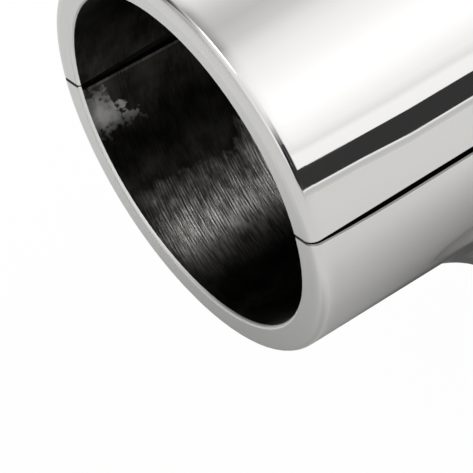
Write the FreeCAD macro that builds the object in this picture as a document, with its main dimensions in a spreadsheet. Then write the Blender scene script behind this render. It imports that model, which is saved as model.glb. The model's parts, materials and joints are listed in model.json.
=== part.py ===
import FreeCAD, Part
import math
import os

# Split tee for rail tube: a lower casting with the stem, a cap, and the screws that hold tubes and cap.
# Origin where the run's axis meets the stem's axis. Run along X, stem down along -Z, cap on top.
# The split is centred on the run's axis.

doc = FreeCAD.newDocument("tee_tube_fitting")
sizes = doc.addObject("Spreadsheet::Sheet", "Sizes")

# Driving sizes in millimetres: name, value, what it measures
drivingSizes = [
    ("tubeDiameter", 25.4, "rail tube and upright tube"),
    ("clampClearance", 0.1, "run bore over rail tube, on the radius"),
    ("socketClearance", 0.2, "stem socket over upright tube, on the radius"),
    ("shellWall", 2.2, "wall of the two half shells"),
    ("runLength", 78.0, "end to end along the rail"),
    ("splitGap", 0.42, "gap between the halves before they are pulled down"),
    ("endGap", 0.1, "gap left at the end lands"),
    ("landLength", 7.5, "ramp from the end land down to the relieved split face"),
    ("rimRound", 0.8, "outer edge of the run's ends"),
    ("boreBreak", 0.22, "edge break where the bore meets the end faces"),
    ("seamBreak", 0.1, "edge break of the long outer edges along the split"),
    ("stemStep", 0.4, "stem narrower than the run, on the radius"),
    ("socketDepth", 26.0, "how far the upright tube goes in"),
    ("webThickness", 3.2, "floor between the run bore and the socket"),
    ("blendLand", 5.9, "plain run between the swept blend and the run's end"),
    ("stemRound", 0.8, "outer edge of the stem's end"),
    ("lugLength", 32.0, "side lugs along the rail"),
    ("lugReach", 10.0, "side lugs out from the shell"),
    ("lugCorner", 5.0, "lug corners seen from above"),
    ("lugRound", 1.0, "upper and lower edges of the lugs"),
    ("lugBlend", 1.5, "cast radius between lug and shell"),
    ("lugSink", 0.05, "root of the cast radius inside the shell"),
    ("screwDiameter", 5.0, "clamp screw thread"),
    ("screwLength", 12.0, "clamp screw under its head"),
    ("screwSpacing", 17.0, "clamp screws along the rail"),
    ("screwOffset", 5.0, "clamp screw axis out from the shell"),
    ("headDiameter", 8.5, "clamp screw head"),
    ("headHeight", 5.0, "clamp screw head"),
    ("headEdge", 0.4, "chamfer on the upper edge of the clamp screw head"),
    ("seatThickness", 4.0, "cap lug under the screw head"),
    ("headClearance", 0.35, "counterbore over the screw head, on the radius"),
    ("shankClearance", 0.25, "cap hole over the screw, on the radius"),
    ("threadClearance", 0.05, "tapped holes over their screws, on the radius"),
    ("clampKey", 4.0, "hexagon socket of the clamp screws, across flats"),
    ("clampKeyDepth", 2.5, "hexagon socket of the clamp screws"),
    ("grubDiameter", 6.0, "set screw thread"),
    ("grubLength", 5.0, "set screw"),
    ("grubBack", 0.3, "set screw tip behind the socket wall"),
    ("grubHeight", 13.0, "set screw axis above the stem's end"),
    ("grubKey", 3.0, "hexagon socket of the set screw, across flats"),
    ("grubKeyDepth", 2.5, "hexagon socket of the set screw"),
    ("grubPoint", 0.6, "chamfer at both ends of the set screw"),
    ("bossDiameter", 12.0, "boss for the set screw"),
    ("bossReach", 3.8, "boss out from the stem"),
]
for row, (name, value, note) in enumerate(drivingSizes, start=1):
    sizes.set("A%d" % row, name)
    sizes.set("B%d" % row, str(value))
    sizes.setAlias("B%d" % row, name)
    sizes.set("C%d" % row, note)
doc.recompute()


def size(name):
    return float(sizes.get(name))


# Sizes that follow from the driving ones, as expressions
boreRadius = "(Sizes.tubeDiameter / 2 + Sizes.clampClearance)"
shellRadius = "(%s + Sizes.shellWall)" % boreRadius
runHalf = "(Sizes.runLength / 2)"
socketRadius = "(Sizes.tubeDiameter / 2 + Sizes.socketClearance)"
stemRadius = "(%s - Sizes.stemStep)" % shellRadius
stemBlend = "(%s - %s - Sizes.blendLand)" % (runHalf, stemRadius)  # swept radius between run and stem
socketTop = "(%s + Sizes.webThickness)" % boreRadius
stemEnd = "(%s + Sizes.socketDepth)" % socketTop
lugHalf = "(Sizes.lugLength / 2)"
lugEdge = "(%s + Sizes.lugReach)" % shellRadius
coreRadius = "(%s - Sizes.lugSink)" % shellRadius
coreHalf = "(%s + 2 * Sizes.lugBlend)" % lugHalf
seatHeight = "(Sizes.splitGap / 2 + Sizes.seatThickness)"
lugHeight = "(%s + Sizes.headHeight)" % seatHeight
landHeight = "(Sizes.splitGap / 2 - Sizes.endGap)"
screwLine = "(%s + Sizes.screwOffset)" % shellRadius
grubAxis = "(%s - Sizes.grubHeight)" % stemEnd
bossFace = "(%s + Sizes.bossReach)" % stemRadius
overcut = "(%s)" % lugEdge  # cutters reach this far past what they cut

alongX = FreeCAD.Vector(1, 0, 0)
alongZ = FreeCAD.Vector(0, 0, 1)
downZ = FreeCAD.Vector(0, 0, -1)
backY = FreeCAD.Vector(0, -1, 0)


def bind(thing, expressions):
    for path, text in expressions.items():
        thing.setExpression(path, text)


def place(thing, at):
    bind(thing, {"Placement.Base.%s" % axis: text for axis, text in zip("xyz", at)})


def turned(thing, axis):
    thing.Placement = FreeCAD.Placement(FreeCAD.Vector(), FreeCAD.Rotation(alongZ, axis))


def cylinder(name, radius, height, at, axis):
    thing = doc.addObject("Part::Cylinder", name)
    turned(thing, axis)
    bind(thing, {"Radius": radius, "Height": height})
    place(thing, at)
    return thing


def box(name, lengths, at):
    thing = doc.addObject("Part::Box", name)
    bind(thing, dict(zip(("Length", "Width", "Height"), lengths)))
    place(thing, at)
    return thing


def hexagon(name, acrossFlats, height, at, axis):
    thing = doc.addObject("Part::Prism", name)
    thing.Polygon = 6
    turned(thing, axis)
    bind(thing, {"Circumradius": "%s / sqrt(3)" % acrossFlats, "Height": height})
    place(thing, at)
    return thing


def fuse(name, things):
    thing = doc.addObject("Part::MultiFuse", name)
    thing.Shapes = things
    thing.Refine = True
    return thing


def cut(name, base, tools):
    thing = doc.addObject("Part::Cut", name)
    thing.Base = base
    thing.Tool = tools[0] if len(tools) == 1 else fuse(name + "Tools", tools)
    thing.Refine = True
    return thing


def edgesWhere(base, test):
    doc.recompute()
    return [i for i, edge in enumerate(base.Shape.Edges, start=1) if test(edge)]


def roundEdges(name, base, radius, test, kind="Part::Fillet"):
    chosen = edgesWhere(base, test)
    thing = doc.addObject(kind, name)
    thing.Base = base
    thing.Edges = [(i, radius, radius) for i in chosen]
    return thing


tolerance = 1e-3
alongEdge = (0.08, 0.3, 0.5, 0.7, 0.92)  # shares of an edge's length where it is tested


def samples(edge):
    first, last = edge.ParameterRange
    return [edge.valueAt(first + (last - first) * share) for share in alongEdge]


def near(a, b):
    return abs(a - b) < tolerance


shellOut = size("tubeDiameter") / 2 + size("clampClearance") + size("shellWall")
boreIn = shellOut - size("shellWall")
stemOut = shellOut - size("stemStep")
endX = size("runLength") / 2
stemZ = -(boreIn + size("webThickness") + size("socketDepth"))
coreOut = shellOut - size("lugSink")
lugX = size("lugLength") / 2
lugY = shellOut + size("lugReach")
lugZ = size("splitGap") / 2 + size("seatThickness") + size("headHeight")


def onShell(point):
    return near(math.hypot(point.y, point.z), shellOut)


def onStem(point):
    return near(math.hypot(point.x, point.y), stemOut)


def runAndStem(edge):
    return all(onShell(p) and onStem(p) for p in samples(edge))


def lugUpright(edge):
    return all(near(abs(p.x), lugX) and near(abs(p.y), lugY) for p in samples(edge))


def lugRim(edge):
    return all(near(abs(p.z), lugZ) for p in samples(edge))


def lugRoot(edge):
    return all(near(math.hypot(p.y, p.z), coreOut) and abs(p.x) < lugX + tolerance for p in samples(edge))


def endRim(edge):
    return all(near(abs(p.x), endX) and onShell(p) for p in samples(edge))


def boreEdge(edge):
    return all(near(abs(p.x), endX) and near(math.hypot(p.y, p.z), boreIn) for p in samples(edge))


def splitRim(low, high, holeRadius):
    def test(edge):
        hole = isinstance(edge.Curve, Part.Circle) and near(edge.Curve.Radius, holeRadius)
        level = all(low - tolerance < p.z < high + tolerance for p in samples(edge))
        outside = all(math.hypot(p.y, p.z) > boreIn + tolerance for p in samples(edge))
        return level and outside and not hole
    return test


def stemFoot(edge):
    return all(near(p.z, stemZ) and onStem(p) for p in samples(edge))


# Side lugs that both castings share, blended on a core that stays inside the shell
lugPlate = box(
    "LugPlate",
    ("Sizes.lugLength", "2 * " + lugEdge, "2 * " + lugHeight),
    ("-" + lugHalf, "-" + lugEdge, "-" + lugHeight),
)
lugCorners = roundEdges("LugCorners", lugPlate, size("lugCorner"), lugUpright)
lugEdges = roundEdges("LugEdges", lugCorners, size("lugRound"), lugRim)
lugCore = cylinder("LugCore", coreRadius, "2 * " + coreHalf, ("-" + coreHalf, "0", "0"), alongX)
lugBlank = fuse("LugBlank", [lugCore, lugEdges])
lugs = roundEdges("Lugs", lugBlank, size("lugBlend"), lugRoot)

# Stem swept into the run: blended on bars that are too long, then trimmed to the run's and the stem's ends
longRun = cylinder("LongRun", shellRadius, "Sizes.runLength + 4 * " + stemBlend,
                   ("-%s - 2 * %s" % (runHalf, stemBlend), "0", "0"), alongX)
longStem = cylinder("LongStem", stemRadius, "%s + 2 * %s" % (stemEnd, stemBlend), ("0", "0", "0"), downZ)
longTee = fuse("LongTee", [longRun, longStem])
longBlend = roundEdges("LongBlend", longTee, endX - stemOut - size("blendLand"), runAndStem)
teeSpace = box(
    "TeeSpace",
    ("Sizes.runLength", "4 * " + overcut, "%s + 2 * %s" % (stemEnd, overcut)),
    ("-" + runHalf, "-2 * " + overcut, "-" + stemEnd),
)
teeBlend = doc.addObject("Part::Common", "TeeBlend")
teeBlend.Base = longBlend
teeBlend.Tool = teeSpace
grubAt = ("0", "0", "-" + grubAxis)
boss = cylinder("Boss", "Sizes.bossDiameter / 2", bossFace, grubAt, backY)
bodyBlank = fuse("BodyBlank", [teeBlend, lugs, boss])

# What is cut away: the run bore, the socket, the split and the holes
runBore = cylinder("RunBore", boreRadius, "2 * " + overcut + " + Sizes.runLength",
                   ("-%s - %s" % (overcut, runHalf), "0", "0"), alongX)
socket = cylinder("Socket", socketRadius, "Sizes.socketDepth + " + overcut,
                  ("0", "0", "-" + socketTop), downZ)
aboveLands = box(
    "AboveLands",
    ("Sizes.runLength + 2 * " + overcut, "4 * " + overcut, "2 * " + overcut),
    ("-%s - %s" % (runHalf, overcut), "-2 * " + overcut, landHeight),
)
belowCap = box(
    "BelowCap",
    ("Sizes.runLength + 2 * " + overcut, "4 * " + overcut, "2 * " + overcut),
    ("-%s - %s" % (runHalf, overcut), "-2 * " + overcut, "Sizes.splitGap / 2 - 2 * " + overcut),
)
# The body's split face is flat in the middle and curls up to the lands at both ends
flatHalf = "(%s - Sizes.landLength)" % runHalf
curlRise = "(Sizes.splitGap - Sizes.endGap)"
curlRadius = "((Sizes.landLength ^ 2 + %s ^ 2) / (2 * %s))" % (curlRise, curlRise)
relief = box(
    "Relief",
    ("2 * " + flatHalf, "4 * " + overcut, overcut),
    ("-" + flatHalf, "-2 * " + overcut, "-Sizes.splitGap / 2"),
)
curls = []
for k, side in enumerate((-1, 1)):
    curlAt = ("%d * %s" % (side, flatHalf), "2 * " + overcut, "%s - Sizes.splitGap / 2" % curlRadius)
    curls.append(cylinder("Curl%d" % k, curlRadius, "4 * " + overcut, curlAt, backY))

screwPlaces = [(i, j) for i in (-1, 1) for j in (-1, 1)]


def atScrew(i, j, z):
    return ("%d * Sizes.screwSpacing / 2" % i, "%d * %s" % (j, screwLine), z)


def screwHoles(name, radius, height, z):
    return [cylinder("%s%d" % (name, k), radius, height, atScrew(i, j, z), alongZ)
            for k, (i, j) in enumerate(screwPlaces)]


grubHoleRadius = "(Sizes.grubDiameter / 2 + Sizes.threadClearance)"
tapRadius = "(Sizes.screwDiameter / 2 + Sizes.threadClearance)"
throughRadius = "(Sizes.screwDiameter / 2 + Sizes.shankClearance)"
counterRadius = "(Sizes.headDiameter / 2 + Sizes.headClearance)"
tappedHoles = screwHoles("TappedHole", tapRadius, "2 * " + overcut, "-2 * %s + %s" % (overcut, lugHeight))
throughHoles = screwHoles("ThroughHole", throughRadius, "2 * " + overcut, "-" + overcut)
counterbores = screwHoles("Counterbore", counterRadius, overcut, seatHeight)
grubHole = cylinder("GrubHole", grubHoleRadius, "%s + %s" % (bossFace, overcut), grubAt, backY)

# Lower casting with the stem
bodyCut = cut("BodyCut", bodyBlank, [aboveLands, relief, runBore, socket, grubHole] + curls + tappedHoles)
bodyRims = roundEdges("BodyRims", bodyCut, size("rimRound"), endRim)
bodyFoot = roundEdges("BodyFoot", bodyRims, size("stemRound"), stemFoot)
landTop = size("splitGap") / 2 - size("endGap")
reliefTop = -size("splitGap") / 2
tapped = size("screwDiameter") / 2 + size("threadClearance")
bodySeam = roundEdges("BodySeam", bodyFoot, size("seamBreak"), splitRim(reliefTop, landTop, tapped),
                      "Part::Chamfer")
teeBody = roundEdges("TeeBody", bodySeam, size("boreBreak"), boreEdge, "Part::Chamfer")
teeBody.Label = "tee_body"

# Upper casting
runBar = cylinder("RunBar", shellRadius, "Sizes.runLength", ("-" + runHalf, "0", "0"), alongX)
capBlank = fuse("CapBlank", [runBar, lugs])
capCut = cut("CapCut", capBlank, [belowCap, runBore] + throughHoles + counterbores)
capRims = roundEdges("CapRims", capCut, size("rimRound"), endRim)
capBottom = size("splitGap") / 2
drilled = size("screwDiameter") / 2 + size("shankClearance")
capSeam = roundEdges("CapSeam", capRims, size("seamBreak"), splitRim(capBottom, capBottom, drilled),
                     "Part::Chamfer")
topCap = roundEdges("TopCap", capSeam, size("boreBreak"), boreEdge, "Part::Chamfer")
topCap.Label = "top_cap"


# Screws
def clampScrew(k, i, j):
    seat = atScrew(i, j, seatHeight)
    head = cylinder("Head%d" % k, "Sizes.headDiameter / 2", "Sizes.headHeight", seat, alongZ)
    shank = cylinder("Shank%d" % k, "Sizes.screwDiameter / 2", "Sizes.screwLength", seat, downZ)
    blank = fuse("ScrewBlank%d" % k, [head, shank])
    rounded = roundEdges("ScrewHead%d" % k, blank, size("headEdge"), lugRim, "Part::Chamfer")
    key = hexagon("ScrewKey%d" % k, "Sizes.clampKey", "Sizes.clampKeyDepth + " + overcut,
                  atScrew(i, j, "%s - Sizes.clampKeyDepth" % lugHeight), alongZ)
    return cut("ClampScrew%d" % k, rounded, [key])


clampScrews = doc.addObject("Part::Compound", "ClampScrews")
clampScrews.Links = [clampScrew(k, i, j) for k, (i, j) in enumerate(screwPlaces)]
clampScrews.Label = "clamp_screws"

grubTip = "(%s + Sizes.grubBack)" % socketRadius
grubTipAt = ("0", "-" + grubTip, "-" + grubAxis)
grubBar = cylinder("GrubBar", "Sizes.grubDiameter / 2", "Sizes.grubLength", grubTipAt, backY)
grubEnds = roundEdges("GrubEnds", grubBar, size("grubPoint"),
                      lambda edge: isinstance(edge.Curve, Part.Circle), "Part::Chamfer")
grubKey = hexagon("GrubKey", "Sizes.grubKey", "Sizes.grubKeyDepth + " + overcut,
                  ("0", "-(%s + Sizes.grubLength - Sizes.grubKeyDepth)" % grubTip, "-" + grubAxis), backY)
setScrew = cut("SetScrew", grubEnds, [grubKey])
setScrew.Label = "set_screw"

doc.recompute()
subParts = [teeBody, topCap, clampScrews, setScrew]
for thing in doc.Objects:
    if "Invalid" in thing.State or "Error" in thing.State:
        raise RuntimeError("%s failed: %s" % (thing.Name, thing.State))
for thing in subParts:
    if thing.Shape.isNull() or not thing.Shape.isValid():
        raise RuntimeError("%s has no valid shape" % thing.Label)

os.makedirs("parts", exist_ok=True)
for thing in subParts:
    thing.Shape.exportStep("parts/%s.step" % thing.Label)
    bounds = thing.Shape.BoundBox
    print("%s: %d solids, %.1f mm3, x %.2f..%.2f y %.2f..%.2f z %.2f..%.2f" % (
        thing.Label, len(thing.Shape.Solids), thing.Shape.Volume,
        bounds.XMin, bounds.XMax, bounds.YMin, bounds.YMax, bounds.ZMin, bounds.ZMax))
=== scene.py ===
import json
import math

import bpy
import numpy as np
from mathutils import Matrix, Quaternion, Vector


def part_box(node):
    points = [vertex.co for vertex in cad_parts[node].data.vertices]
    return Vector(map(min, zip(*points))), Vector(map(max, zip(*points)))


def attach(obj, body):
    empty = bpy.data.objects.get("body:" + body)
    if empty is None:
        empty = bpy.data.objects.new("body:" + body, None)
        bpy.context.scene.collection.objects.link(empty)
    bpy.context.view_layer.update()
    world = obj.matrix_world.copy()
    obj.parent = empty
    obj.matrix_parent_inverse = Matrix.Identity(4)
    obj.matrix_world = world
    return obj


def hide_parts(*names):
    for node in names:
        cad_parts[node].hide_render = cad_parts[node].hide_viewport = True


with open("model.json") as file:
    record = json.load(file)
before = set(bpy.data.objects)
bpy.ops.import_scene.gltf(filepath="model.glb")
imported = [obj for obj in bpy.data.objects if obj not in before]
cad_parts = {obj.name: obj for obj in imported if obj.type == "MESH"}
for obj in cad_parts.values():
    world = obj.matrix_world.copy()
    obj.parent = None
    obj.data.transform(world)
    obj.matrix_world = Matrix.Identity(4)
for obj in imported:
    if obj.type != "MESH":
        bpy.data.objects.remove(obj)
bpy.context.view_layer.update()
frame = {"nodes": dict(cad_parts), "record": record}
mm = 0.001
print("frame loaded:", sorted(frame["nodes"]))

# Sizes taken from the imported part, in millimetres
mounts = {mount["name"]: mount for mount in frame["record"]["mounts"]}
boreRadius = mounts["run_clamp"]["dims"]["r_mm"]
socketRadius = mounts["stem_socket"]["dims"]["r_mm"]
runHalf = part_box("top_cap")[1].x / mm
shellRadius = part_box("top_cap")[1].z / mm
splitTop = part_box("top_cap")[0].z / mm  # lower face of the cap
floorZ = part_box("tee_body")[0].z / mm   # end of the stem, on which the fitting stands


def linear(hexColour):  # sRGB hex to the linear colour that shaders take
    channels = [int(hexColour[i:i + 2], 16) / 255 for i in (1, 3, 5)]
    return tuple(c / 12.92 if c <= 0.04045 else ((c + 0.055) / 1.055) ** 2.4 for c in channels) + (1.0,)


def addNode(tree, kind, settings=None, values=None, links=None):
    node = tree.nodes.new(kind)
    for name, value in (settings or {}).items():
        setattr(node, name, value)
    for socket, value in (values or {}).items():
        node.inputs[socket].default_value = value
    for socket, source in (links or {}).items():
        tree.links.new(source, node.inputs[socket])
    return node


def newMaterial(name):
    material = bpy.data.materials.new(name)
    material.use_nodes = True
    material.node_tree.nodes.clear()
    return material, material.node_tree


black = linear("#000000")
white = linear("#FFFFFF")
mixFactor, mixA, mixB, mixed = 0, 6, 7, 2  # sockets of a Mix node for colours
plainDetail, fineDetail, raggedDetail = 2.0, 3.0, 4.0  # octaves of the noise in the finishes

# Mirror-polished cast stainless: near-white mirror with the soft waviness of a hand-held polishing wheel
polished = {
    "colour": "#E7E6E5",
    "roughness": 0.02,
    "haze": 0.03,             # roughness added where the polish is thinner
    "hazeSize": 3.0,          # mm
    "hazeSpan": (0.4, 0.75),  # noise between which the haze comes up
    "waveSize": 9.0,          # mm between the wheel's soft waves
    "waveDepth": 0.004,       # mm
    "rollStart": 1.8,         # mm from the run's ends, where the wheel starts to roll the surface off
    "rollEnd": 0.8,           # mm, where the rim's own round begins
    "rollDepth": 0.033,       # mm
    "rollPower": 3.0,         # how late the roll-off turns down
}


def polishedStainless():
    material, tree = newMaterial("polished cast stainless")
    place = addNode(tree, "ShaderNodeTexCoord")
    haze = addNode(tree, "ShaderNodeTexNoise",
                   values={"Scale": 1 / (polished["hazeSize"] * mm), "Detail": fineDetail},
                   links={"Vector": place.outputs["Object"]})
    rough = addNode(tree, "ShaderNodeMapRange",
                    values={"From Min": polished["hazeSpan"][0], "From Max": polished["hazeSpan"][1],
                            "To Min": polished["roughness"],
                            "To Max": polished["roughness"] + polished["haze"]},
                    links={"Value": haze.outputs["Fac"]})
    wave = addNode(tree, "ShaderNodeTexNoise",
                   values={"Scale": 1 / (polished["waveSize"] * mm), "Detail": 0.0},
                   links={"Vector": place.outputs["Object"]})
    parts = addNode(tree, "ShaderNodeSeparateXYZ", links={"Vector": place.outputs["Object"]})
    along = addNode(tree, "ShaderNodeMath", {"operation": "ABSOLUTE"}, links={0: parts.outputs["X"]})
    near = addNode(tree, "ShaderNodeMapRange",
                   values={"From Min": (runHalf - polished["rollStart"]) * mm,
                           "From Max": (runHalf - polished["rollEnd"]) * mm},
                   links={"Value": along.outputs["Value"]})
    fall = addNode(tree, "ShaderNodeMath", {"operation": "POWER"}, {1: polished["rollPower"]},
                   {0: near.outputs["Result"]})
    rolled = addNode(tree, "ShaderNodeMath", {"operation": "MULTIPLY"},
                     {1: -polished["rollDepth"] / polished["waveDepth"]}, {0: fall.outputs["Value"]})
    height = addNode(tree, "ShaderNodeMath", {"operation": "ADD"},
                     links={0: wave.outputs["Fac"], 1: rolled.outputs["Value"]})
    bump = addNode(tree, "ShaderNodeBump", values={"Strength": 1.0, "Distance": polished["waveDepth"] * mm},
                   links={"Height": height.outputs["Value"]})
    shader = addNode(tree, "ShaderNodeBsdfPrincipled",
                     values={"Base Color": linear(polished["colour"]), "Metallic": 1.0},
                     links={"Roughness": rough.outputs["Result"], "Normal": bump.outputs["Normal"]})
    addNode(tree, "ShaderNodeOutputMaterial", links={"Surface": shader.outputs["BSDF"]})
    return material


# Faced stainless: the linished ends of the run, a satin grey that only blurs what it reflects
faced = {"name": "linished stainless", "colour": "#E0E0DF", "roughness": 0.22,
         "mark": 0.35, "markDepth": 0.0015, "detail": plainDetail}  # mm, mm

# Milled stainless: screw holes, stem socket and the lower half's edges along the split, a darker satin grey
milled = {"name": "milled stainless", "colour": "#8E8C88", "roughness": 0.38,
          "mark": 0.25, "markDepth": 0.002, "detail": plainDetail}

# Split faces: rough faces that the wheel can't reach, painted black as the shade of the gap between the
# halves
paintedGapShade = {"name": "sawn stainless", "colour": "#262523", "roughness": 0.6,
        "mark": 0.3, "markDepth": 0.004, "detail": fineDetail}

# Rolled stainless screws: a touch greyer and softer than the castings
screws = {"name": "plain stainless screws", "colour": "#B4B2AE", "roughness": 0.26,
          "mark": 0.4, "markDepth": 0.002, "detail": fineDetail}

# Burnished edge: the rubbed edge break of the bore, which gathers light from all round as a pale line; its
# colour, lighter than the ends, is partly a painted highlight
burnishAndHighlight = {"name": "burnished edge", "colour": "#F2F2F0", "roughness": 0.45,
             "mark": 0.3, "markDepth": 0.002, "detail": plainDetail}


def satinStainless(finish):  # plain metal with the fine marks of the tool that made it
    material, tree = newMaterial(finish["name"])
    place = addNode(tree, "ShaderNodeTexCoord")
    marks = addNode(tree, "ShaderNodeTexNoise",
                    values={"Scale": 1 / (finish["mark"] * mm), "Detail": finish["detail"]},
                    links={"Vector": place.outputs["Object"]})
    bump = addNode(tree, "ShaderNodeBump", values={"Strength": 1.0, "Distance": finish["markDepth"] * mm},
                   links={"Height": marks.outputs["Fac"]})
    shader = addNode(tree, "ShaderNodeBsdfPrincipled",
                     values={"Base Color": linear(finish["colour"]), "Metallic": 1.0,
                             "Roughness": finish["roughness"]},
                     links={"Normal": bump.outputs["Normal"]})
    addNode(tree, "ShaderNodeOutputMaterial", links={"Surface": shader.outputs["BSDF"]})
    return material


# Bored casting: dark inside, partly the casting's own skin and partly painted shade, with a painted
# reflection band along the lower back only, in fine broken rings that smear light along the run
bored = {
    "roughness": 0.36,
    "anisotropy": 1.0,
    "grainTurn": 0.25,           # turns, so that the gloss spreads along the run
    # dark skin, partly the casting's own colour and partly painted shade of the bore
    "skinAndShade": "#343331",
    "smudge": "#5C5A56",         # paler smudges in the skin
    "smudgeSize": 1.7,           # mm
    "score": 0.6,                # how much the torn streaks add to the smudges
    "paleSpan": (0.66, 1.0),     # smudge and streaks together, between which the skin turns pale
    "skinDepth": 0.15,           # depth of the marks in the skin, for 1 in the painted band
    "backShadePainted": (196.0, 211.0),      # degrees round the bore, between which painted shade darkens the skin
    "backShadeLeft": 0.6,             # share of the skin's tone left from there on
    "topShadePainted": (168.0, 157.0),   # the same on its way up
    "topShadeLeft": 0.5,
    # painted reflection band: pale where the grooves smear the bright strip's light
    "cut": "#CBC9C4",
    "cutRise": (218.0, 238.0),   # degrees round the bore, where the painted band begins and is brightest
    "risePower": 0.8,
    "cutFall": (264.0, 240.0),   # the same from its other side
    "fallPower": 2.6,
    "cutLater": 0.6,             # degrees later that the painted band begins for each mm into the bore
    "cutEdge": (0.8, 6.0),       # mm and degrees, the patches in which the painted band's edges stray, and how far
    "mouth": (1.6, 0.4),         # mm from the end, between which the painted band thins out
    "mouthLeft": 0.1,
    "inner": (4.5, 9.0),         # mm from the end, between which the painted band grows brighter
    "innerGain": 1.7,
    "brink": (8.6, 9.8),         # mm from the end, between which the painted band climbs and brightens once more
    "brinkClimb": 9.0,           # degrees
    "brinkGain": 0.6,
    "slant": 0.14,               # mm the rings climb along the run for each mm round the bore
    "ring": 0.22,                # mm from tool ring to tool ring
    "ringWander": 3.0,           # how far a ring strays from its line
    "ringSpan": (0.3, 0.7),      # noise between which a ring comes up
    "ringShare": 0.9,            # depth of a ring, for 1 of a torn streak
    "ringDepth": 0.03,           # mm
    "markLength": 1.2,           # mm round the bore before a ring breaks off
    "streak": (0.13, 1.4),       # mm across and along a torn streak between the rings
    "streakSpan": (0.4, 0.6),    # noise between which a streak goes from dark to bright
    "streakTone": (0.21, 0.92),  # share of the painted band's colour at those two
    "torn": 0.6,                 # weight of the finer octaves in the streaks and the straying edges
    "blotch": 0.8,               # mm, size of paler and darker patches in the painted band
    "blotchSpan": (0.35, 0.65),  # noise between which a patch goes from dark to pale
    "blotchTone": (0.7, 1.25),
}

# Bright spot inside the near end's left edge: a painted reflection of the bright floor, with a ragged pitted
# edge
floorReflection = {
    "colour": "#FBFAF7",
    "from": 182.7,          # degrees round the bore
    "width": 3.6,           # mm round the bore
    "reach": (0.95, 0.72),  # mm into the bore at its upper edge, and mm more for each mm round the bore
    "rag": 0.45,            # mm, size of the pits in its ragged edge
    "ragWidth": 3.6,        # mm, how far those pits eat in
    "ragSpan": (1.55, 2.1),  # mm from the edge with the pits added, between which the painted reflection shows
    "topFade": 0.7,         # share of the width over which it comes up from its upper edge
    "topLeft": 0.22,        # share of the brightness at that edge
    "foot": 1.2,            # mm over which it dies away downwards
    "footLeft": 0.3,
    "mouth": (0.1, 0.9),    # mm into the bore, between which it grows brighter
    "mouthLeft": 0.42,
    "depth": 0.15,          # depth of the marks in it, for 1 in the painted band
}

# Painted shade of the split's gap, black inside the bore, with a painted highlight of the lower half's edge
# along its foot
seamShade = {
    "colour": "#0A0A0A",
    "top": 0.17,                 # mm above the split
    "fade": 0.06,                # mm over which its edges fade
    "seamHighlight": "#8E8B86",           # the painted edge highlight
    "seamHighlightWidth": 0.17,           # mm
    "seamHighlightLine": (-0.25, -0.72),  # mm up, at the end of the run and at the depth below into it
    "seamHighlightDepth": 8.0,            # mm
}


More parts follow.
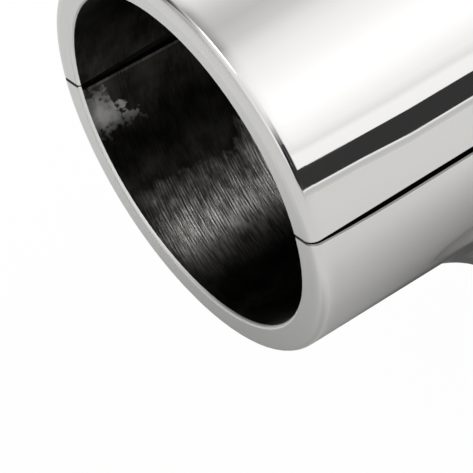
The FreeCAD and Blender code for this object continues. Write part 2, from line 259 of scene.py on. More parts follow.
def boredCasting():
    material, tree = newMaterial("bored dark casting")
    place = addNode(tree, "ShaderNodeTexCoord")
    parts = addNode(tree, "ShaderNodeSeparateXYZ", links={"Vector": place.outputs["Object"]})
    angle = addNode(tree, "ShaderNodeMath", {"operation": "ARCTAN2"},
                    links={0: parts.outputs["Z"], 1: parts.outputs["Y"]})
    around = addNode(tree, "ShaderNodeMath", {"operation": "MULTIPLY"}, {1: boreRadius},
                     {0: angle.outputs["Value"]})
    along = addNode(tree, "ShaderNodeMath", {"operation": "DIVIDE"}, {1: mm}, {0: parts.outputs["X"]})

    # Broken tool rings and the torn streaks between them, in mm round and along the bore
    slow = addNode(tree, "ShaderNodeMath", {"operation": "MULTIPLY"},
                   {1: bored["ring"] / bored["markLength"]}, {0: around.outputs["Value"]})
    slanted = addNode(tree, "ShaderNodeMath", {"operation": "MULTIPLY_ADD"}, {1: -bored["slant"]},
                      {0: around.outputs["Value"], 2: along.outputs["Value"]})
    wall = addNode(tree, "ShaderNodeCombineXYZ",
                   links={"X": slanted.outputs["Value"], "Y": slow.outputs["Value"]})
    waveScale = math.pi / (10 * bored["ring"])  # at scale 1 the bands lie pi / 10 apart
    rings = addNode(tree, "ShaderNodeTexWave", {"bands_direction": "X"},
                    {"Scale": waveScale, "Distortion": bored["ringWander"], "Detail": plainDetail,
                     "Detail Scale": 1.0}, {"Vector": wall.outputs["Vector"]})
    broken = addNode(tree, "ShaderNodeTexNoise", values={"Scale": 1 / bored["ring"], "Detail": plainDetail},
                     links={"Vector": wall.outputs["Vector"]})
    kept = addNode(tree, "ShaderNodeMapRange",
                   values={"From Min": bored["ringSpan"][0], "From Max": bored["ringSpan"][1]},
                   links={"Value": broken.outputs["Fac"]})
    marks = addNode(tree, "ShaderNodeMath", {"operation": "MULTIPLY"},
                    links={0: rings.outputs["Fac"], 1: kept.outputs["Result"]})
    tear = addNode(tree, "ShaderNodeMath", {"operation": "MULTIPLY"},
                   {1: bored["streak"][0] / bored["streak"][1]}, {0: around.outputs["Value"]})
    torn = addNode(tree, "ShaderNodeCombineXYZ",
                   links={"X": slanted.outputs["Value"], "Y": tear.outputs["Value"]})
    streaks = addNode(tree, "ShaderNodeTexNoise",
                      values={"Scale": 1 / bored["streak"][0], "Detail": fineDetail,
                              "Roughness": bored["torn"]},
                      links={"Vector": torn.outputs["Vector"]})
    rough = addNode(tree, "ShaderNodeMath", {"operation": "MULTIPLY_ADD"}, {1: bored["ringShare"]},
                    {0: marks.outputs["Value"], 2: streaks.outputs["Fac"]})

    # Painted reflection band: between two angles with straying edges, later and brighter further in
    stray = addNode(tree, "ShaderNodeTexNoise",
                    values={"Scale": 1 / (bored["cutEdge"][0] * mm), "Detail": raggedDetail,
                            "Roughness": bored["torn"]},
                    links={"Vector": place.outputs["Object"]})
    farthest = math.radians(bored["cutEdge"][1])
    shift = addNode(tree, "ShaderNodeMapRange", {"clamp": False}, {"To Min": -farthest, "To Max": farthest},
                    {"Value": stray.outputs["Fac"]})
    strayed = addNode(tree, "ShaderNodeMath", {"operation": "ADD"},
                      links={0: angle.outputs["Value"], 1: shift.outputs["Result"]})
    turn = [math.radians(degrees - 360) for degrees in bored["cutRise"] + bored["cutFall"]]
    later = math.radians(bored["cutLater"])
    held = addNode(tree, "ShaderNodeMath", {"operation": "MULTIPLY_ADD"}, {1: later},
                   {0: along.outputs["Value"], 2: strayed.outputs["Value"]})
    brink = addNode(tree, "ShaderNodeMapRange",
                    values={"From Min": runHalf - bored["brink"][0],
                            "From Max": runHalf - bored["brink"][1]},
                    links={"Value": along.outputs["Value"]})
    climbed = addNode(tree, "ShaderNodeMath", {"operation": "MULTIPLY_ADD"},
                      {1: math.radians(bored["brinkClimb"])},
                      {0: brink.outputs["Result"], 2: held.outputs["Value"]})
    gained = addNode(tree, "ShaderNodeMath", {"operation": "MULTIPLY_ADD"}, {1: bored["brinkGain"], 2: 1.0},
                     {0: brink.outputs["Result"]})
    rise = addNode(tree, "ShaderNodeMapRange",
                   values={"From Min": turn[0] + later * runHalf, "From Max": turn[1] + later * runHalf},
                   links={"Value": climbed.outputs["Value"]})
    risen = addNode(tree, "ShaderNodeMath", {"operation": "POWER"}, {1: bored["risePower"]},
                    {0: rise.outputs["Result"]})
    fall = addNode(tree, "ShaderNodeMapRange", values={"From Min": turn[2], "From Max": turn[3]},
                   links={"Value": strayed.outputs["Value"]})
    fallen = addNode(tree, "ShaderNodeMath", {"operation": "POWER"}, {1: bored["fallPower"]},
                     {0: fall.outputs["Result"]})
    cut = addNode(tree, "ShaderNodeMath", {"operation": "MINIMUM"},
                  links={0: risen.outputs["Value"], 1: fallen.outputs["Value"]})
    bright = addNode(tree, "ShaderNodeMapRange",
                     values={"From Min": bored["streakSpan"][0], "From Max": bored["streakSpan"][1],
                             "To Min": bored["streakTone"][0], "To Max": bored["streakTone"][1]},
                     links={"Value": streaks.outputs["Fac"]})
    blotches = addNode(tree, "ShaderNodeTexNoise",
                       values={"Scale": 1 / (bored["blotch"] * mm), "Detail": fineDetail},
                       links={"Vector": place.outputs["Object"]})
    patchy = addNode(tree, "ShaderNodeMapRange",
                     values={"From Min": bored["blotchSpan"][0], "From Max": bored["blotchSpan"][1],
                             "To Min": bored["blotchTone"][0], "To Max": bored["blotchTone"][1]},
                     links={"Value": blotches.outputs["Fac"]})
    worn = addNode(tree, "ShaderNodeMath", {"operation": "MULTIPLY"},
                   links={0: bright.outputs["Result"], 1: patchy.outputs["Result"]})
    deep = addNode(tree, "ShaderNodeMapRange",
                   values={"From Min": runHalf - bored["mouth"][0], "From Max": runHalf - bored["mouth"][1],
                           "To Min": 1.0, "To Max": bored["mouthLeft"]},
                   links={"Value": along.outputs["Value"]})
    deeper = addNode(tree, "ShaderNodeMapRange",
                     values={"From Min": runHalf - bored["inner"][1],
                             "From Max": runHalf - bored["inner"][0],
                             "To Min": bored["innerGain"], "To Max": 1.0},
                     links={"Value": along.outputs["Value"]})
    graded = addNode(tree, "ShaderNodeMath", {"operation": "MULTIPLY"},
                     links={0: deep.outputs["Result"], 1: deeper.outputs["Result"]})
    brighter = addNode(tree, "ShaderNodeMath", {"operation": "MULTIPLY"},
                       links={0: graded.outputs["Value"], 1: gained.outputs["Value"]})
    lines = addNode(tree, "ShaderNodeMath", {"operation": "MULTIPLY"},
                    links={0: worn.outputs["Value"], 1: brighter.outputs["Value"]})
    shown = addNode(tree, "ShaderNodeMath", {"operation": "MULTIPLY"},
                    links={0: cut.outputs["Value"], 1: lines.outputs["Value"]})

    # The skin, smudged and scored, with painted shade away from the split, and the painted band over it
    smudges = addNode(tree, "ShaderNodeTexNoise",
                      values={"Scale": 1 / (bored["smudgeSize"] * mm), "Detail": fineDetail},
                      links={"Vector": place.outputs["Object"]})
    scored = addNode(tree, "ShaderNodeMath", {"operation": "MULTIPLY_ADD"}, {1: bored["score"]},
                     {0: streaks.outputs["Fac"], 2: smudges.outputs["Fac"]})
    pale = addNode(tree, "ShaderNodeMapRange",
                   values={"From Min": bored["paleSpan"][0], "From Max": bored["paleSpan"][1]},
                   links={"Value": scored.outputs["Value"]})
    smudged = addNode(tree, "ShaderNodeMix", {"data_type": "RGBA"},
                      {mixA: linear(bored["skinAndShade"]), mixB: linear(bored["smudge"])},
                      {mixFactor: pale.outputs["Result"]})
    # Painted shade: the skin darkens towards the back and towards the top of the bore
    backward = addNode(tree, "ShaderNodeMath", {"operation": "WRAP"}, {1: math.tau, 2: 0.0},
                       {0: angle.outputs["Value"]})
    backShadePainted = addNode(tree, "ShaderNodeMapRange",
                   values={"From Min": math.radians(bored["backShadePainted"][0]),
                           "From Max": math.radians(bored["backShadePainted"][1]),
                           "To Min": 1.0, "To Max": bored["backShadeLeft"]},
                   links={"Value": backward.outputs["Value"]})
    topShadePainted = addNode(tree, "ShaderNodeMapRange",
                      values={"From Min": math.radians(bored["topShadePainted"][0]),
                              "From Max": math.radians(bored["topShadePainted"][1]),
                              "To Min": 1.0, "To Max": bored["topShadeLeft"]},
                      links={"Value": backward.outputs["Value"]})
    paintedShadeFactor = addNode(tree, "ShaderNodeMath", {"operation": "MULTIPLY"},
                    links={0: backShadePainted.outputs["Result"], 1: topShadePainted.outputs["Result"]})
    skinAndShade = addNode(tree, "ShaderNodeMix", {"data_type": "RGBA"}, {mixA: black},
                   {mixFactor: paintedShadeFactor.outputs["Value"], mixB: smudged.outputs[mixed]})
    tone = addNode(tree, "ShaderNodeMix", {"data_type": "RGBA"}, {mixB: linear(bored["cut"])},
                   {mixFactor: shown.outputs["Value"], mixA: skinAndShade.outputs[mixed]})

    # Painted floor reflection: a wedge in mm round and along the bore, with a ragged pitted edge
    fromTop = addNode(tree, "ShaderNodeMath", {"operation": "SUBTRACT"},
                      {1: math.radians(floorReflection["from"] - 360) * boreRadius}, {0: around.outputs["Value"]})
    toFoot = addNode(tree, "ShaderNodeMath", {"operation": "SUBTRACT"}, {0: floorReflection["width"]},
                     {1: fromTop.outputs["Value"]})
    reach = addNode(tree, "ShaderNodeMath", {"operation": "MULTIPLY_ADD"},
                    {1: floorReflection["reach"][1], 2: floorReflection["reach"][0] - runHalf}, {0: fromTop.outputs["Value"]})
    inside = addNode(tree, "ShaderNodeMath", {"operation": "ADD"},
                     links={0: reach.outputs["Value"], 1: along.outputs["Value"]})
    sides = addNode(tree, "ShaderNodeMath", {"operation": "MINIMUM"},
                    links={0: fromTop.outputs["Value"], 1: toFoot.outputs["Value"]})
    within = addNode(tree, "ShaderNodeMath", {"operation": "MINIMUM"},
                     links={0: sides.outputs["Value"], 1: inside.outputs["Value"]})
    rag = addNode(tree, "ShaderNodeTexNoise",
                  values={"Scale": 1 / (floorReflection["rag"] * mm), "Detail": plainDetail},
                  links={"Vector": place.outputs["Object"]})
    ragged = addNode(tree, "ShaderNodeMath", {"operation": "MULTIPLY_ADD"}, {1: floorReflection["ragWidth"]},
                     {0: rag.outputs["Fac"], 2: within.outputs["Value"]})
    reflectionEdge = addNode(tree, "ShaderNodeMapRange",
                      values={"From Min": floorReflection["ragSpan"][0], "From Max": floorReflection["ragSpan"][1]},
                      links={"Value": ragged.outputs["Value"]})
    downward = addNode(tree, "ShaderNodeMapRange",
                       values={"From Max": floorReflection["width"] * floorReflection["topFade"],
                               "To Min": floorReflection["topLeft"], "To Max": 1.0},
                       links={"Value": fromTop.outputs["Value"]})
    footward = addNode(tree, "ShaderNodeMapRange",
                       values={"From Max": floorReflection["foot"], "To Min": floorReflection["footLeft"], "To Max": 1.0},
                       links={"Value": toFoot.outputs["Value"]})
    inward = addNode(tree, "ShaderNodeMapRange",
                     values={"From Min": runHalf - floorReflection["mouth"][0], "From Max": runHalf - floorReflection["mouth"][1],
                             "To Min": floorReflection["mouthLeft"], "To Max": 1.0},
                     links={"Value": along.outputs["Value"]})
    reflectionMask = reflectionEdge.outputs["Result"]
    for fading in (downward, footward, inward, patchy):
        faded = addNode(tree, "ShaderNodeMath", {"operation": "MULTIPLY"},
                        links={0: reflectionMask, 1: fading.outputs["Result"]})
        reflectionMask = faded.outputs["Value"]
    reflectionPainted = addNode(tree, "ShaderNodeMix", {"data_type": "RGBA"}, {mixB: linear(floorReflection["colour"])},
                     {mixFactor: reflectionMask, mixA: tone.outputs[mixed]})

    # Painted shade of the gap along the split, with a painted edge highlight under it that runs down into
    # the bore
    fromMiddle = addNode(tree, "ShaderNodeMath", {"operation": "ABSOLUTE"},
                         links={0: along.outputs["Value"]})
    line = addNode(tree, "ShaderNodeMapRange",
                   values={"From Min": runHalf, "From Max": runHalf - seamShade["seamHighlightDepth"],
                           "To Min": seamShade["seamHighlightLine"][0] * mm, "To Max": seamShade["seamHighlightLine"][1] * mm},
                   links={"Value": fromMiddle.outputs["Value"]})
    overLine = addNode(tree, "ShaderNodeMath", {"operation": "SUBTRACT"},
                       links={0: parts.outputs["Z"], 1: line.outputs["Result"]})
    fade = seamShade["fade"] * mm
    overFoot = addNode(tree, "ShaderNodeMapRange", values={"From Min": 0.0, "From Max": fade},
                       links={"Value": overLine.outputs["Value"]})
    underTop = addNode(tree, "ShaderNodeMapRange",
                       values={"From Min": seamShade["top"] * mm + fade, "From Max": seamShade["top"] * mm},
                       links={"Value": parts.outputs["Z"]})
    seamShaded = addNode(tree, "ShaderNodeMath", {"operation": "MULTIPLY"},
                     links={0: overFoot.outputs["Result"], 1: underTop.outputs["Result"]})
    overHighlight = addNode(tree, "ShaderNodeMapRange",
                       values={"From Min": -seamShade["seamHighlightWidth"] * mm - fade,
                               "From Max": -seamShade["seamHighlightWidth"] * mm},
                       links={"Value": overLine.outputs["Value"]})
    seamLit = addNode(tree, "ShaderNodeMath", {"operation": "SUBTRACT", "use_clamp": True},
                     links={0: overHighlight.outputs["Result"], 1: overFoot.outputs["Result"]})
    patchyHighlight = addNode(tree, "ShaderNodeMath", {"operation": "MULTIPLY"},
                         links={0: seamLit.outputs["Value"], 1: pale.outputs["Result"]})
    edged = addNode(tree, "ShaderNodeMix", {"data_type": "RGBA"}, {mixB: linear(seamShade["seamHighlight"])},
                    {mixFactor: patchyHighlight.outputs["Value"], mixA: reflectionPainted.outputs[mixed]})
    colour = addNode(tree, "ShaderNodeMix", {"data_type": "RGBA"}, {mixB: linear(seamShade["colour"])},
                     {mixFactor: seamShaded.outputs["Value"], mixA: edged.outputs[mixed]})

    # Marks are deep in the painted band, and shallow in the skin and the painted floor reflection
    tooled = addNode(tree, "ShaderNodeMath", {"operation": "MULTIPLY_ADD"},
                     {1: 1 - bored["skinDepth"], 2: bored["skinDepth"]}, {0: cut.outputs["Value"]})
    smooth = addNode(tree, "ShaderNodeMapRange", values={"To Min": 1.0, "To Max": floorReflection["depth"]},
                     links={"Value": reflectionMask})
    depth = addNode(tree, "ShaderNodeMath", {"operation": "MULTIPLY"},
                    links={0: tooled.outputs["Value"], 1: smooth.outputs["Result"]})
    height = addNode(tree, "ShaderNodeMath", {"operation": "MULTIPLY"},
                     links={0: rough.outputs["Value"], 1: depth.outputs["Value"]})
    bump = addNode(tree, "ShaderNodeBump", values={"Strength": 1.0, "Distance": bored["ringDepth"] * mm},
                   links={"Height": height.outputs["Value"]})
    grain = addNode(tree, "ShaderNodeTangent", {"direction_type": "RADIAL", "axis": "X"})
    shader = addNode(tree, "ShaderNodeBsdfPrincipled",
                     values={"Metallic": 1.0, "Roughness": bored["roughness"],
                             "Anisotropic": bored["anisotropy"], "Anisotropic Rotation": bored["grainTurn"]},
                     links={"Base Color": colour.outputs[mixed], "Normal": bump.outputs["Normal"],
                            "Tangent": grain.outputs["Tangent"]})
    addNode(tree, "ShaderNodeOutputMaterial", links={"Surface": shader.outputs["BSDF"]})
    return material


castingFinishes = [polishedStainless(), satinStainless(faced), boredCasting(), satinStainless(milled),
                   satinStainless(paintedGapShade), satinStainless(burnishAndHighlight)]
outside, ends, boreWall, cutFaces, split, edges = range(len(castingFinishes))
print("materials made")

# The castings are shown by copies of their solids, with a finish for each face. Their normals are exact on
# the run's shell, bore and ends, and rolled as a polisher leaves them on the rim and the bore's edge break
casting = {
    "rimRound": 0.8,             # mm, outer edge of the run's ends
    "rimTurn": 3.4,              # how late the polished rim turns from end to shell
    "rimLean": 0.1,              # how far the rim still leans to the end where it runs into the shell
    "boreBreak": 0.22,           # mm, edge break of the bore
    "breakRoll": (8.0, 57.0),    # degrees the edge break leans to the bore, at its end and bore side
    "seamBreak": 0.1,            # mm, edge break of the split's long outer edges
    "seamTilt": (0.6, 0.97),     # upward part of such an edge break's facing, more is the split's own face
    "seamClear": 0.05,           # mm outside the bore, where those edges begin
    "slack": 0.003,              # mm, how near a corner lies to the surface it belongs to
    "straight": 0.9,             # cosine, facets of the run's shell and bore face this straight out or in
    "level": 0.99,               # upward part of the facing of level faces
    "sameSweep": 35.0,           # degrees within which facets share a rounded surface
    "weldDigits": 3,             # decimals of a mm to which corners are the same point
    "socketSlack": 0.05,         # mm, how near a corner lies to the stem's socket
    "screwAt": (8.5, 20.0),      # mm from the middle to a clamp screw, along and across the run
    "counterbore": 4.6,          # mm, widest hole round a clamp screw
    "setScrewAt": (0.0, -29.0),  # mm along the run and up
    "setScrewHole": 3.05,        # mm, radius
}
tiny = 1e-12  # keeps an empty facet from dividing by zero


def unit(vectors):
    return vectors / np.maximum(np.linalg.norm(vectors, axis=-1, keepdims=True), tiny)


def dressCasting(nodeName, pieceName):
    mesh = frame["nodes"][nodeName].data.copy()
    mesh.name = pieceName
    piece = bpy.data.objects.new(pieceName, mesh)
    bpy.context.scene.collection.objects.link(piece)
    points = np.empty(len(mesh.vertices) * 3)
    mesh.vertices.foreach_get("co", points)
    points = points.reshape(-1, 3) / mm
    corners = np.empty(len(mesh.loops), int)
    mesh.loops.foreach_get("vertex_index", corners)
    faces = corners.reshape(-1, 3)
    spots = points[faces]
    across = np.cross(spots[:, 1] - spots[:, 0], spots[:, 2] - spots[:, 0])
    facing = unit(across)
    area = np.linalg.norm(across, axis=1)
    tilt = np.abs(facing[:, 2])
    radius = np.hypot(spots[..., 1], spots[..., 2])
    fromStem = np.hypot(spots[..., 0], spots[..., 1])
    endX = np.abs(spots[..., 0])
    height = spots[..., 2]
    outward = spots * (0, 1, 1) / radius[..., None]
    away = (facing * outward.mean(1)).sum(1)

    # Which surface each facet belongs to
    slack = casting["slack"]
    onShell = (np.abs(radius - shellRadius) < slack).all(1) & (away > casting["straight"])
    onBore = (np.abs(radius - boreRadius) < slack).all(1) & (away < -casting["straight"])
    onEnd = (endX > runHalf - slack).all(1)
    seamHalf = splitTop + casting["seamBreak"] + slack
    onSeam = (np.abs(height) < seamHalf).all(1) & (radius > boreRadius + casting["seamClear"]).all(1)
    onSeam &= (tilt > casting["seamTilt"][0]) & (tilt < casting["seamTilt"][1])
    onSplit = (tilt > casting["seamTilt"][1]) & (np.abs(height) < splitTop + slack).all(1)
    rimInner = shellRadius - casting["rimRound"]
    rimStart = runHalf - casting["rimRound"]
    onRim = (endX > rimStart - slack).all(1) & (radius > rimInner - slack).all(1)
    onRim &= ~onShell & ~onEnd & ~onSeam
    onBreak = (endX > runHalf - casting["boreBreak"] - slack).all(1) & ~onEnd & ~onBore
    onBreak &= (radius < boreRadius + casting["boreBreak"] + slack).all(1)
    fromScrew = np.hypot(endX - casting["screwAt"][0], np.abs(spots[..., 1]) - casting["screwAt"][1])
    inScrewHole = (fromScrew < casting["counterbore"] + slack).all(1)
    fromSetScrew = np.hypot(spots[..., 0] - casting["setScrewAt"][0], height - casting["setScrewAt"][1])
    inSetScrewHole = (fromSetScrew < casting["setScrewHole"] + slack).all(1)
    isLevel = tilt > casting["level"]
    onSocketWall = (np.abs(fromStem - socketRadius) < casting["socketSlack"]).all(1)
    onSocketEnd = (fromStem < socketRadius + casting["socketSlack"]).all(1) & isLevel
    inStem = (height < -boreRadius).all(1)

    # Normals of the known surfaces, exact on shell, bore and ends and rolled on the rim and the edge break
    knownNormals = np.zeros_like(spots)
    known = onShell | onBore | onEnd | onRim | onBreak
    endward = np.sign(spots[..., :1]) * np.array([1.0, 0.0, 0.0])
    knownNormals[onShell] = outward[onShell]
    knownNormals[onBore] = -outward[onBore]
    knownNormals[onEnd] = endward[onEnd]
    inRim = np.clip((runHalf - endX) / casting["rimRound"], 0.0, 1.0)[..., None]
    lean = 1 - (1 - casting["rimLean"]) * inRim ** casting["rimTurn"]
    knownNormals[onRim] = (lean * endward + np.sqrt(1 - lean ** 2) * outward)[onRim]
    inBreak = np.clip((runHalf - endX) / casting["boreBreak"], 0.0, 1.0)[..., None]
    roll = np.radians(casting["breakRoll"][0] * (1 - inBreak) + casting["breakRoll"][1] * inBreak)
    knownNormals[onBreak] = (np.cos(roll) * endward - np.sin(roll) * outward)[onBreak]

    # Elsewhere a corner takes the known surface it runs into, or the mean of the facets of its own sweep
    sweep = math.cos(math.radians(casting["sameSweep"]))
    welded = np.unique(np.round(points, casting["weldDigits"]), axis=0, return_inverse=True)[1]
    joined = welded.reshape(-1)[faces]
    around = {}
    for face in range(len(faces)):
        for spot in range(3):
            around.setdefault(joined[face, spot], []).append((face, spot))
    normals = knownNormals.copy()
    for face in np.nonzero(~known)[0]:
        for spot in range(3):
            near = around[joined[face, spot]]
            fixed = [knownNormals[f, s] for f, s in near
                     if known[f] and knownNormals[f, s] @ facing[face] > sweep]
            if fixed:
                normals[face, spot] = max(fixed, key=lambda n: n @ facing[face])
            else:
                shared = [f for f, s in near if not known[f] and facing[f] @ facing[face] > sweep]
                normals[face, spot] = unit((facing[shared] * area[shared][:, None]).sum(0))

    finish = np.full(len(faces), outside)
    finish[onEnd] = ends
    finish[onBore] = boreWall
    finish[onBreak] = edges
    # The split's faces and the edge breaks along it take the black painted shade of the gap
    finish[onSplit | onSeam] = split
    behindEnd = (endX < runHalf - casting["seamBreak"] / 2).any(1)
    finish[onSeam & behindEnd & (facing[:, 2] > 0)] = cutFaces
    finish[(onSocketWall | onSocketEnd) & inStem] = cutFaces
    finish[(inScrewHole & ~isLevel) | inSetScrewHole] = cutFaces
    mesh.materials.clear()
    for material in castingFinishes:
        mesh.materials.append(material)
    mesh.polygons.foreach_set("material_index", finish)
    mesh.polygons.foreach_set("use_smooth", np.ones(len(faces), bool))
    mesh.normals_split_custom_set(normals.reshape(-1, 3))
    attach(piece, "root")
    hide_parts(nodeName)
    print(pieceName, "has", len(faces), "facets, of them", int(known.sum()), "on known surfaces")


dressCasting("tee_body", "tee_casting")
dressCasting("top_cap", "cap_casting")

screwFinish = satinStainless(screws)
for nodeName in ("clamp_screws", "set_screw"):
    node = frame["nodes"][nodeName]
    node.data.materials.clear()
    node.data.materials.append(screwFinish)
print("castings and screws dressed")

# Studio: a pale floor under a light tent, an arch along the run that the polished metal mirrors
studio = {
    "floorColour": "#F7F7F5",
    "floorSize": 6000.0,    # mm
    "whiteShare": 0.985,    # how much of the floor the camera sees as plain white, the rest keeps the shadow
    "mirroredShare": 0.05,  # the same for what the metal mirrors
    "roomFill": 0.25,       # white room outside the tent, as far as it lights the floor
    "paintedShadows": [             # painted shadows in the paper's colour, beside the near end and round the foot
        {"at": (44.0, -31.0), "span": (-10.0, 40.0), "left": 0.14},  # mm, mm from there, tone in the middle
        {"at": (-32.0, -13.0), "span": (26.0, 78.0), "left": 0.05},
        {"at": (50.0, 3.0), "span": (0.0, 32.0), "left": 0.62},
        {"at": (10.0, -16.0), "span": (2.0, 14.0), "left": 0.34},
        {"at": (64.0, -8.0), "span": (0.0, 20.0), "left": 0.78},
    ],
}


def floorPaper():
    material, tree = newMaterial("white floor paper")
    path = addNode(tree, "ShaderNodeLightPath")
    seen = addNode(tree, "ShaderNodeMath", {"operation": "MULTIPLY"}, {1: studio["whiteShare"]},
                   {0: path.outputs["Is Camera Ray"]})
    clear = addNode(tree, "ShaderNodeMath", {"operation": "MAXIMUM"},
                    links={0: path.outputs["Is Glossy Ray"], 1: path.outputs["Is Transmission Ray"]})
    share = addNode(tree, "ShaderNodeMath", {"operation": "MULTIPLY_ADD"}, {1: studio["mirroredShare"]},
                    {0: clear.outputs["Value"], 2: seen.outputs["Value"]})
    place = addNode(tree, "ShaderNodeTexCoord")
    # Painted shadow: soft dark spots multiplied into the paper's colour, which the metal mirrors
    paintedShadowTone = None
    for paintedShadow in studio["paintedShadows"]:
        middle = Vector((paintedShadow["at"][0], paintedShadow["at"][1], floorZ)) * mm
        away = addNode(tree, "ShaderNodeVectorMath", {"operation": "DISTANCE"}, {1: middle},
                       {0: place.outputs["Object"]})
        spot = addNode(tree, "ShaderNodeMapRange", {"interpolation_type": "SMOOTHSTEP"},
                       {"From Min": paintedShadow["span"][0] * mm, "From Max": paintedShadow["span"][1] * mm,
                        "To Min": paintedShadow["left"], "To Max": 1.0}, {"Value": away.outputs["Value"]})
        if paintedShadowTone is None:
            paintedShadowTone = spot.outputs["Result"]
        else:
            both = addNode(tree, "ShaderNodeMath", {"operation": "MULTIPLY"},
                           links={0: paintedShadowTone, 1: spot.outputs["Result"]})
            paintedShadowTone = both.outputs["Value"]
    tone = addNode(tree, "ShaderNodeMix", {"data_type": "RGBA"},
                   {mixA: black, mixB: linear(studio["floorColour"])}, {mixFactor: paintedShadowTone})
    paper = addNode(tree, "ShaderNodeBsdfDiffuse", links={"Color": tone.outputs[mixed]})
    glow = addNode(tree, "ShaderNodeEmission", values={"Strength": 1.0})
    mix = addNode(tree, "ShaderNodeMixShader", links={0: share.outputs["Value"], 1: paper.outputs["BSDF"],
                                                      2: glow.outputs["Emission"]})
    addNode(tree, "ShaderNodeOutputMaterial", links={"Surface": mix.outputs["Shader"]})
    return material


def litCloth():  # lit from behind, as bright at each point as its level says
    material, tree = newMaterial("lit tent cloth")
    level = addNode(tree, "ShaderNodeAttribute", {"attribute_name": "level"})
    light = addNode(tree, "ShaderNodeEmission", links={"Strength": level.outputs["Fac"]})
    addNode(tree, "ShaderNodeOutputMaterial", links={"Surface": light.outputs["Emission"]})
    return material


def stageSheet(name, points, levels, columns, material):  # points row by row, in mm
    rows = len(points) // columns
    quads = [(r * columns + c, r * columns + c + 1, (r + 1) * columns + c + 1, (r + 1) * columns + c)
             for r in range(rows - 1) for c in range(columns - 1)]
    mesh = bpy.data.meshes.new(name)
    mesh.from_pydata([Vector(point) * mm for point in points], [], quads)
    mesh.materials.append(material)
    mesh.attributes.new("level", "FLOAT", "POINT").data.foreach_set("value", levels)
    sheet = bpy.data.objects.new(name, mesh)
    bpy.context.scene.collection.objects.link(sheet)
    return sheet


half = studio["floorSize"] / 2
floorCorners = [(x, y, floorZ) for x in (-half, half) for y in (-half, half)]
stageSheet("floor", floorCorners, [0.0] * len(floorCorners), 2, floorPaper())

# The tent's cloth at stations along the run: its level by the angle round the run, from the floor in front
# (0) over the top (90) to the back (180)
leftCloth = [(-6, 1.1), (8, 1.06), (14, 1.05), (24, 1.2), (33, 1.32), (44, 1.28), (54, 1.16), (64, 1.07),
             (72, 0.95), (80, 0.75), (90, 0.64), (98, 0.71), (106, 0.85), (114, 1.0), (130, 1.1), (186, 1.0)]
edgeCloth = [(-6, 1.0), (14, 1.0), (24, 1.1), (33, 1.2), (54, 1.1), (62, 1.0), (71, 0.78), (78, 0.44),
             (104, 0.44), (112, 0.7), (130, 1.0), (186, 1.0)]
topCloth = [(-6, 0.02), (17, 0.02), (21, 0.1), (25, 0.3), (33, 0.75), (40, 1.0), (62, 1.0), (71, 0.72),
            (78, 0.4), (104, 0.4), (112, 0.6), (130, 0.8), (186, 0.8)]
nearCloth = [(-6, 0.02), (16, 0.02), (20, 0.12), (25, 0.35), (32, 0.8), (40, 0.9), (93, 0.95), (101, 0.75),
             (109, 0.5), (117, 0.25), (125, 0.1), (140, 0.03), (186, 0.02)]
farCloth = [(-6, 1.0), (20, 1.0), (36, 0.85), (60, 0.88), (93, 1.0), (104, 0.9), (114, 0.75), (124, 0.55),
            (186, 0.5)]
tent = {
    "radius": 420.0,  # mm
    "steps": 160,
    "stations": [(-900.0, leftCloth), (-130.0, leftCloth), (-66.0, edgeCloth), (-48.0, topCloth),
                 (58.0, topCloth), (62.0, nearCloth), (450.0, nearCloth), (600.0, farCloth),
                 (900.0, farCloth)],
}


def archSheet(name, radius, stations, turns, material):  # stations: mm along the run and the level by angle
    points = []
    levels = []
    for turn in turns:
        y = radius * math.cos(math.radians(turn))
        z = radius * math.sin(math.radians(turn))
        for x, stops in stations:
            points.append((x, y, z))
            levels.append(float(np.interp(turn, [stop[0] for stop in stops], [stop[1] for stop in stops])))
    arch = stageSheet(name, points, levels, len(stations), material)
    arch.visible_camera = False
    return arch


cloth = litCloth()
lowest = math.degrees(math.asin(floorZ / tent["radius"]))
turns = [lowest + (180 - 2 * lowest) * i / tent["steps"] for i in range(tent["steps"] + 1)]
archSheet("tent", tent["radius"], tent["stations"], turns, cloth)

# A bright strip to the right rakes the bore; it only shows in the metal and doesn't light the paper
strip = {
    "radius": 410.0,         # mm
    "span": (100.0, 260.0),  # mm along the run
    "stops": [(62, 0.9), (71, 3.6), (86, 3.6), (96, 0.9)],
    "steps": 24,
}
lowTurn, highTurn = strip["stops"][0][0], strip["stops"][-1][0]
turns = [lowTurn + (highTurn - lowTurn) * i / strip["steps"] for i in range(strip["steps"] + 1)]
rake = archSheet("rake_strip", strip["radius"], [(x, strip["stops"]) for x in strip["span"]], turns, cloth)
rake.visible_diffuse = False
rake.visible_shadow = False

# The tent's two end walls, each with its level at the back edge and the front edge
endWall = {"reach": 420.0, "left": (0.05, 0.05), "right": (0.66, 1.1)}
for side, x in (("left", tent["stations"][0][0]), ("right", tent["stations"][-1][0])):
    corners = [(x, y, z) for y in (-endWall["reach"], endWall["reach"]) for z in (floorZ, endWall["reach"])]
    backLevel, frontLevel = endWall[side]
    wall = stageSheet(side + "_wall", corners, [backLevel] * 2 + [frontLevel] * 2, 2, cloth)
    wall.visible_camera = False

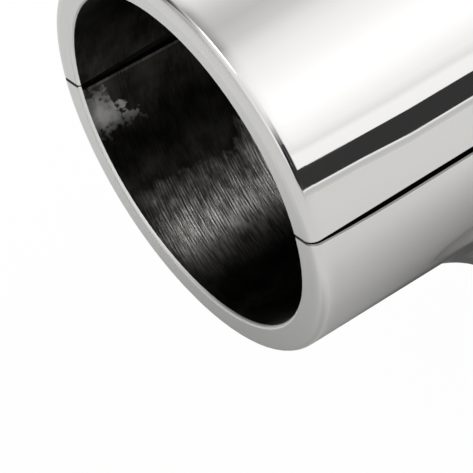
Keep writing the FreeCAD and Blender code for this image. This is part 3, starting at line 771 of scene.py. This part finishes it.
# The narrow flag in front that draws the dark stripe along the cap, with a pale frame
flag = {
    "distance": 120.0,  # mm in front of the run's axis
    "level": 0.04,
    "stations": [-60.0, -20.0, -14.5, -9.5, -4.0, 9.0, 12.0, 70.0],  # mm along the run
    "top": [-10.5, 7.05, 7.85, 10.6, 14.3, 15.5, 15.8, 17.0],        # mm above the axis at each station
    "bottom": [-37.6, -16.6, -16.0, -11.2, -7.7, -5.9, -5.6, -5.0],
    "framed": 6,  # stations that have the frame
    "below": [(-9.0, 0.74), (-6.5, 0.62), (-2.6, 0.62), (-2.0, 0.98), (-0.2, 0.98)],  # mm under it, level
    "above": [(0.2, 1.1), (14.0, 1.12), (20.0, 0.95), (26.0, 1.04), (32.0, 1.12)],    # mm over it, level
}
points = []
levels = []
for i, x in enumerate(flag["stations"]):
    rows = [(flag["bottom"][i] + gap, tone) for gap, tone in flag["below"]]
    rows += [(flag["bottom"][i], flag["level"]), (flag["top"][i], flag["level"])]
    rows += [(flag["top"][i] + gap, tone) for gap, tone in flag["above"]]
    points += [(x, flag["distance"], z) for z, tone in rows]
    levels += [tone if i < flag["framed"] or z < flag["bottom"][i] else flag["level"] for z, tone in rows]
frontFlag = stageSheet("front_flag", points, levels, len(points) // len(flag["stations"]), cloth)
frontFlag.visible_camera = False
frontFlag.visible_diffuse = False
frontFlag.visible_shadow = False

# White room round the tent
world = bpy.data.worlds.new("white room")
world.use_nodes = True
tree = world.node_tree
path = addNode(tree, "ShaderNodeLightPath")
clear = addNode(tree, "ShaderNodeMath", {"operation": "MAXIMUM"},
                links={0: path.outputs["Is Glossy Ray"], 1: path.outputs["Is Transmission Ray"]})
plain = addNode(tree, "ShaderNodeMath", {"operation": "MAXIMUM"},
                links={0: path.outputs["Is Camera Ray"], 1: clear.outputs["Value"]})
strength = addNode(tree, "ShaderNodeMapRange", values={"To Min": studio["roomFill"], "To Max": 1.0},
                   links={"Value": plain.outputs["Value"]})
tree.nodes["Background"].inputs["Color"].default_value = white
tree.links.new(strength.outputs["Result"], tree.nodes["Background"].inputs["Strength"])
bpy.context.scene.world = world

# A lamp for the floor behind the near end
floorLamp = {
    "at": (40.0, -250.0, 350.0),  # mm
    "size": 240.0,                # mm
    "level": 0.26,                # what it adds to white paper right below
}
lamp = bpy.data.lights.new("floor lamp", "AREA")
lamp.shape = "SQUARE"
lamp.size = floorLamp["size"] * mm
lamp.energy = floorLamp["level"] * math.pi ** 2 * (floorLamp["at"][2] - floorZ) ** 2 * mm ** 2
lampObject = bpy.data.objects.new("floor_lamp", lamp)
lampObject.location = Vector(floorLamp["at"]) * mm
lampObject.visible_glossy = False
lampObject.visible_camera = False
bpy.context.scene.collection.objects.link(lampObject)
print("studio set")

# Camera of the photograph: long lens, looking down into the near end of the run
view = {
    "place": (332.07, 590.01, 474.57),  # mm
    "aim": (39.01, 4.60, -4.14),        # mm
    "roll": -15.08,                     # degrees
    "lens": 913.3,                      # mm
    "sensor": 36.0,                     # mm
    "clip": (50.0, 20000.0),            # mm
}
camera = bpy.data.cameras.new("photo")
camera.lens = view["lens"]
camera.sensor_width = view["sensor"]
camera.clip_start = view["clip"][0] * mm
camera.clip_end = view["clip"][1] * mm
cameraObject = bpy.data.objects.new("photo", camera)
look = Vector(view["aim"]) - Vector(view["place"])
cameraObject.location = Vector(view["place"]) * mm
cameraObject.rotation_mode = "QUATERNION"
cameraObject.rotation_quaternion = (look.to_track_quat("-Z", "Y")
                                    @ Quaternion((0, 0, 1), math.radians(view["roll"])))
bpy.context.scene.collection.objects.link(cameraObject)
bpy.context.scene.camera = cameraObject
bpy.context.scene.view_settings.view_transform = "Standard"
print("camera set")
